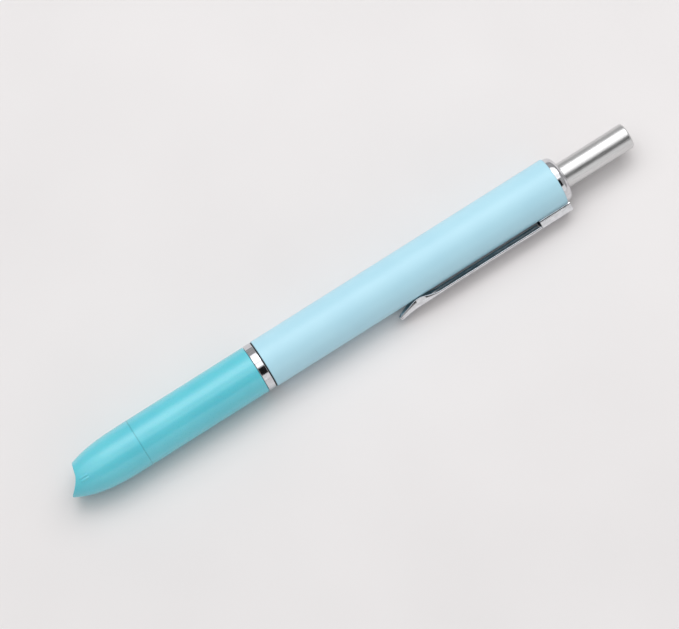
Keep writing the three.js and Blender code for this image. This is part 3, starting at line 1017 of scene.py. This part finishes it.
mountSizes = {
    "front": span("clip_mount")[0], "rear": span("clip_mount")[1],
    "foot": 4.9, "outer": 7.75, "edge": 0.3, "endEdge": 0.12, "cutEdge": 0.05,
    "lipLean": 0.5,            # the lip under the groove leans in toward the barrel
    "groove": {"inner": 5.84, "outer": 6.1, "deep": 0.28, "step": 0.02, "innerEdge": 0.03, "edge": 0.12},
    "saddle": {"gap": 0.13, "past": 2},
    "channel": {"backWall": 1.3, "inner": 4, "edge": 0.2, "past": 1},
    "tongue": {"reach": 1.6, "gap": 0.05, "inner": 5.4, "under": 1.2, "half": 1.0, "edge": 0.08},
}


def makeClipMount():
    # The clip's deep root: a block with a groove along each side, hollowed from below
    sizes = mountSizes
    front, rear, outer = sizes["front"], sizes["rear"], sizes["outer"]
    half, sheet = clipSizes["halfWidth"], clipSizes["sheet"]
    groove, saddle, channel = sizes["groove"], sizes["saddle"], sizes["channel"]
    side = []
    for out, inset, radius in (
        (sizes["foot"], sizes["lipLean"], 0), (groove["inner"], 0, groove["innerEdge"]),
        (groove["inner"], groove["deep"], 0), (groove["outer"], groove["deep"], 0),
        (groove["outer"], groove["step"], groove["edge"]),
        (outer, clipSizes["flare"] * (outer - groove["outer"]), sizes["edge"]),
    ):
        side.append((out, half - inset, radius))
    section = softCorners(side + [(out, -across, radius) for out, across, radius in reversed(side)], 5)
    block = softenEdges(sweptBlock("clipMount", section, front, rear), sizes["endEdge"], 3, 60)
    radius = radiusOf("grip_tube") + saddle["gap"]
    start, end = front - saddle["past"], rear + saddle["past"]
    cutAway(block, turnedPiece("saddleCutter", [(0, start), (radius, start), (radius, end), (0, end)], 192))
    start, end = front - channel["past"], rear - channel["backWall"]
    outline = softCorners([
        (start, channel["inner"], 0), (end, channel["inner"], 0), (end, outer - sheet, channel["edge"]),
        (start, outer - sheet, 0),
    ])
    cutAway(block, extruded("channelCutter", outline, half - sheet))
    softenEdges(block, sizes["cutEdge"], 2, 50)
    fitPiece(block, "casing", "chrome_trim", "clip_mount", degrees=38)


def makeClipTongue():
    # Goes from the root through the barrel's notch
    sizes = mountSizes["tongue"]
    start, end = mountSizes["rear"] - sizes["reach"], barrelSpan[1] - sizes["gap"]
    inner, outer = sizes["inner"], mountSizes["outer"] - sizes["under"]
    outline = [(start, inner), (end, inner), (end, outer), (start, outer)]
    tongue = softenEdges(extruded("clipTongue", outline, sizes["half"]), sizes["edge"], 2, 40)
    fitPiece(tongue, "casing", "chrome_trim", degrees=38)


makeClipMount()
makeClipTongue()
print("clip made")

# Nib
nibSizes = {
    "radius": 1.6, "tip": 13.8, "slope": 1.3, "straightFrom": 20, "rear": span("nib")[1], "edge": 0.18,
    "innerRings": (0.3, 0.6, 0.8), "around": 96,
}


def makeNib():
    # A round fibre stick with a chisel end, made of rings from the end's middle to the rear
    sizes = nibSizes
    radius, edge, rear, around = sizes["radius"], sizes["edge"], sizes["rear"], sizes["around"]

    def chisel(out):
        return sizes["tip"] + sizes["slope"] * (radius - out)

    endRings = [(fraction * (radius - edge), 0.0) for fraction in sizes["innerRings"]]
    for index in range(6):
        angle = pi / 2 * index / 5
        endRings.append((radius - edge + edge * sin(angle), edge * (1 - cos(angle))))
    rearRings = [(radius, sizes["straightFrom"]), (radius, rear - edge), (radius - edge, rear)]
    points = [spot(chisel(0), 0, 0, noseRoll)]
    faces = []
    rings = [(out, back, True) for out, back in endRings]
    rings += [(out, along, False) for out, along in rearRings]
    for out, along, onChisel in rings:
        for turn in range(around):
            angle = 2 * pi * turn / around
            slope = chisel(out * cos(angle)) if onChisel else 0.0
            points.append(spot(slope + along, out * cos(angle), out * sin(angle), noseRoll))
    points.append(spot(rear, 0, 0, noseRoll))
    ringCount = len(rings)
    for turn in range(around):
        after = (turn + 1) % around
        faces.append((0, 1 + turn, 1 + after))
        for ring in range(ringCount - 1):
            here = 1 + ring * around
            faces.append((here + turn, here + around + turn, here + around + after, here + after))
        last = 1 + (ringCount - 1) * around
        faces.append((last + turn, len(points) - 1, last + after))
    fitPiece(objectFrom("fibreNib", points, faces), "refill", "ink_fibre", "nib", degrees=40)


makeNib()

# Return spring
springFront, springRear = span("return_spring")
springSizes = {
    "radius": 3.75, "wire": 0.25, "turns": 11.0, "closed": 1.0, "steps": 660,
    "fixedEnd": 30.2, "keep": 0.44,
}
returnSpring = grow(
    "returnSpring", wireCoil, "spring_steel", Start=spot(springFront + springSizes["wire"]),
    Radius=springSizes["radius"] * mm, Wire=springSizes["wire"] * mm,
    Length=(springRear - springFront - 2 * springSizes["wire"]) * mm, Turns=springSizes["turns"],
    Closed=springSizes["closed"], Steps=springSizes["steps"],
)
fitPiece(returnSpring, "casing", "spring_steel", "return_spring")
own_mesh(returnSpring)
print("nib and spring made")

# Pieces inside, from their CAD shapes
insidePieces = {
    "casing": {
        "white_plastic": ["seal_tube", "cam_sleeve", "button_bush"],
        "grey_plastic": ["joint_sleeve"],
        "seal_rubber": ["door_gasket"],
        "spring_steel": ["door_pin"],
    },
    "door": {"white_plastic": ["seal_door"], "spring_steel": ["door_spring"]},
    "button": {"grey_plastic": ["button_plunger"]},
    "rotor": {"nose_plastic": ["cam_rotor"]},
    "refill": {
        "grey_plastic": ["refill_plug"],
        "white_plastic": ["refill_tube", "nib_holder"],
        "ink_fibre": ["ink_core", "feed_wick"],
        "seal_rubber": ["carrier_ring"],
    },
}
insideSizes = {"edge": 0.04, "plain": ("door_spring", "carrier_ring")}
for bodyName, bySlot in insidePieces.items():
    for slotName, nodes in bySlot.items():
        for node in nodes:
            edge = 0.0 if node in insideSizes["plain"] else insideSizes["edge"]
            refined(node, bodyName, slotName, edge)
print("inside pieces made")


# Floor, light and camera
floorSizes = {
    "half": 1.2, "cuts": 24, "tones": (linear(228, 225, 225), linear(232, 229, 229)), "toneSize": 0.05,
}


def makeFloor():
    sizes = floorSizes
    mesh = bpy.data.meshes.new("floor")
    shape = bmesh.new()
    bmesh.ops.create_grid(shape, x_segments=sizes["cuts"], y_segments=sizes["cuts"], size=sizes["half"])
    shape.to_mesh(mesh)
    shape.free()
    floor = link(bpy.data.objects.new("floor", mesh))
    material, tree, shader = newMaterial("paleFloor", Roughness=0.6, Specular_IOR_Level=0.25)
    darker, lighter = sizes["tones"]
    tone = useGroup(tree, "tone", Tone_A=darker, Tone_B=lighter, Size=sizes["toneSize"])
    tree.links.new(tone.outputs[0], shader.inputs["Base Color"])
    floor.data.materials.append(material)


# Metres, watts and degrees: azimuth 90 is the +Y side and 270 the clip's side, elevation is from the floor
softboxes = {
    "keySoftbox": {
        "azimuth": 90, "elevation": 68, "distance": 0.98, "along": 0.55,
        "width": 1.6, "depth": 0.5, "power": 3.7,
    },
    "overheadSoftbox": {
        "azimuth": 90, "elevation": 75.5, "distance": 1.0, "along": 0.25,
        "width": 2.0, "depth": 1.32, "power": 8.3,
    },
    "frontPanel": {
        "azimuth": 270, "elevation": 15, "distance": 1.1, "along": 0.0,
        "width": 1.8, "depth": 0.56, "power": 1.5,
    },
}
cardSizes = {
    "azimuth": 270, "elevation": 49.5, "distance": 0.7, "along": 0.05,
    "halfWidth": 0.3, "halfDepth": 0.21, "tone": linear(14, 15, 17),
}
worldStrength = 0.4


def faceThePen(obj, azimuth, elevation, distance, along):
    toward = Vector((
        cos(radians(elevation)) * cos(radians(azimuth)),
        cos(radians(elevation)) * sin(radians(azimuth)),
        sin(radians(elevation)),
    ))
    obj.location = toward * distance + Vector((along, 0, 0))
    obj.rotation_mode = "QUATERNION"
    obj.rotation_quaternion = toward.to_track_quat("Z", "Y")


def makeSoftbox(name, sizes):
    light = bpy.data.lights.new(name, "AREA")
    light.shape = "RECTANGLE"
    light.size = sizes["width"]
    light.size_y = sizes["depth"]
    light.energy = sizes["power"]
    lamp = link(bpy.data.objects.new(name, light))
    faceThePen(lamp, sizes["azimuth"], sizes["elevation"], sizes["distance"], sizes["along"])


def makeDarkCard():
    # A black card that only reflections see: it gives the bright metal its dark bands
    sizes = cardSizes
    wide, deep = sizes["halfWidth"], sizes["halfDepth"]
    corners = [(-wide, -deep, 0), (wide, -deep, 0), (wide, deep, 0), (-wide, deep, 0)]
    card = objectFrom("darkCard", corners, [(0, 1, 2, 3)])
    material, tree, shader = newMaterial("blackCard", Roughness=0.9, Base_Color=sizes["tone"])
    card.data.materials.append(material)
    faceThePen(card, sizes["azimuth"], sizes["elevation"], sizes["distance"], sizes["along"])
    card.visible_camera = False
    card.visible_diffuse = False
    card.visible_shadow = False


def makeLight():
    for name, sizes in softboxes.items():
        makeSoftbox(name, sizes)
    makeDarkCard()
    world = bpy.data.worlds.new("studio")
    world.use_nodes = True
    world.node_tree.nodes["Background"].inputs[0].default_value = (1.0, 1.0, 1.0, 1.0)
    world.node_tree.nodes["Background"].inputs[1].default_value = worldStrength
    bpy.context.scene.world = world


cameraSizes = {
    "aim": (-2.5, 0.36, 0.12),         # from the middle of the pen's axis
    "back": (-55.5, -231.8, 702.8),    # from there to the camera
    "lens": 169.6,
    "penTilt": 32.22,
}


def makeCamera():
    sizes = cameraSizes
    aim = Vector((0, penLine["y"], penLine["z"])) + Vector(sizes["aim"]) * mm
    back = Vector(sizes["back"]) * mm
    toward = back.normalized()
    pen = (Vector((1, 0, 0)) - toward * toward.x).normalized()
    side = toward.cross(pen)
    tilt = radians(sizes["penTilt"])
    right = pen * cos(tilt) - side * sin(tilt)
    up = pen * sin(tilt) + side * cos(tilt)
    data = bpy.data.cameras.new("camera")
    data.sensor_width = 36
    data.lens = sizes["lens"]
    data.clip_start = 0.01
    data.clip_end = 20
    camera = link(bpy.data.objects.new("camera", data))
    turn = Matrix((right, up, toward)).transposed().to_4x4()
    camera.matrix_world = Matrix.Translation(aim + back) @ turn
    bpy.context.scene.camera = camera


makeFloor()
makeLight()
makeCamera()
bpy.context.scene.view_settings.view_transform = "Standard"
print("stage set")
